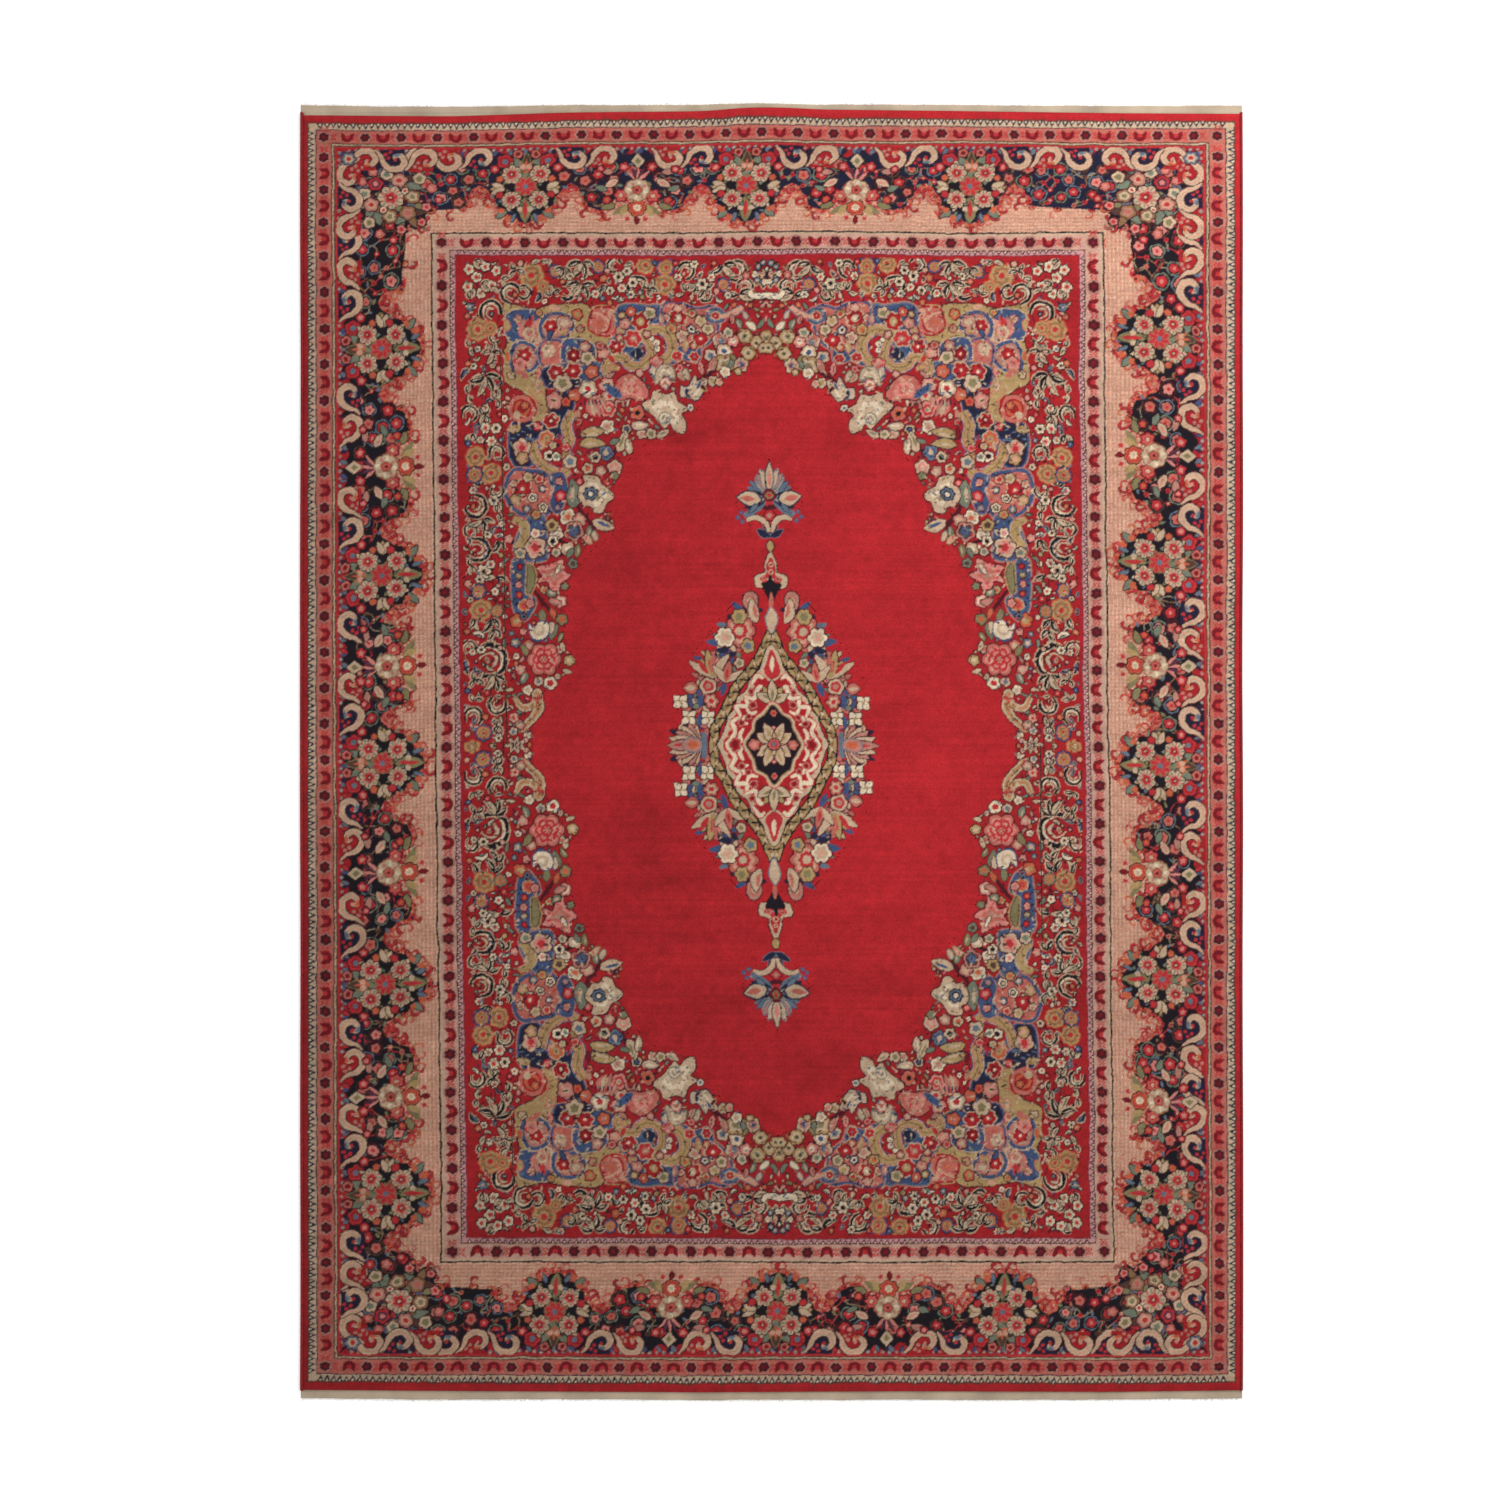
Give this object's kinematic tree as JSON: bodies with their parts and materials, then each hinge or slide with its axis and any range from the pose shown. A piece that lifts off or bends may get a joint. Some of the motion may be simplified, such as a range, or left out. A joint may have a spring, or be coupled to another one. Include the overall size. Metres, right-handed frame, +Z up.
{
  "type": "area rug",
  "caption": "Room-size hand-knotted wool rug lying flat: scalloped red field, oval medallion with pendants, floral corners and nested borders, flat-woven cream ends.",
  "frame": {"origin": "on the floor under the middle of the rug", "axes": "+Y along the rug towards its top end, +X across it to the right, +Z up out of the pile"},
  "size_m": [2.74, 3.766, 0.012],
  "materials": {
    "red_pile": "short cut wool pile, soft sheen",
    "dark_red_pile": "short cut wool pile, soft sheen",
    "salmon_pile": "short cut wool pile, patterned",
    "navy_pile": "short cut wool pile, patterned",
    "gold_pile": "short cut wool pile, patterned",
    "cream_pile": "short cut wool pile, patterned",
    "overcast_wool": "wool yarn, wrapped side by side",
    "cotton": "undyed cotton, plain weave"
  },
  "bodies": {
    "root": {"foundation": "cotton", "edge_band_left": "dark_red_pile", "edge_band_right": "dark_red_pile", "edge_band_top": "dark_red_pile", "edge_band_bottom": "dark_red_pile", "outer_guard_left": "salmon_pile", "outer_guard_right": "salmon_pile", "outer_guard_top": "salmon_pile", "outer_guard_bottom": "salmon_pile", "main_border_left": "navy_pile", "main_border_right": "navy_pile", "main_border_top": "navy_pile", "main_border_bottom": "navy_pile", "inner_guard_left": "salmon_pile", "inner_guard_right": "salmon_pile", "inner_guard_top": "salmon_pile", "inner_guard_bottom": "salmon_pile", "floral_border_left": "red_pile", "floral_border_right": "red_pile", "floral_border_top": "red_pile", "floral_border_bottom": "red_pile", "spandrel_top_left": "gold_pile", "spandrel_top_right": "gold_pile", "spandrel_bottom_left": "gold_pile", "spandrel_bottom_right": "gold_pile", "open_field": "red_pile", "medallion": "cream_pile", "pendant_top": "cream_pile", "pendant_bottom": "cream_pile", "selvedge_wrap_left": "overcast_wool", "selvedge_wrap_right": "overcast_wool", "selvedge_core_left": "cotton", "selvedge_core_right": "cotton", "kilim_end_top": "cotton", "kilim_end_bottom": "cotton", "locking_weft_top": "cotton", "locking_weft_bottom": "cotton", "fringe_top": "cotton", "fringe_bottom": "cotton"}
  },
  "joints": []
}
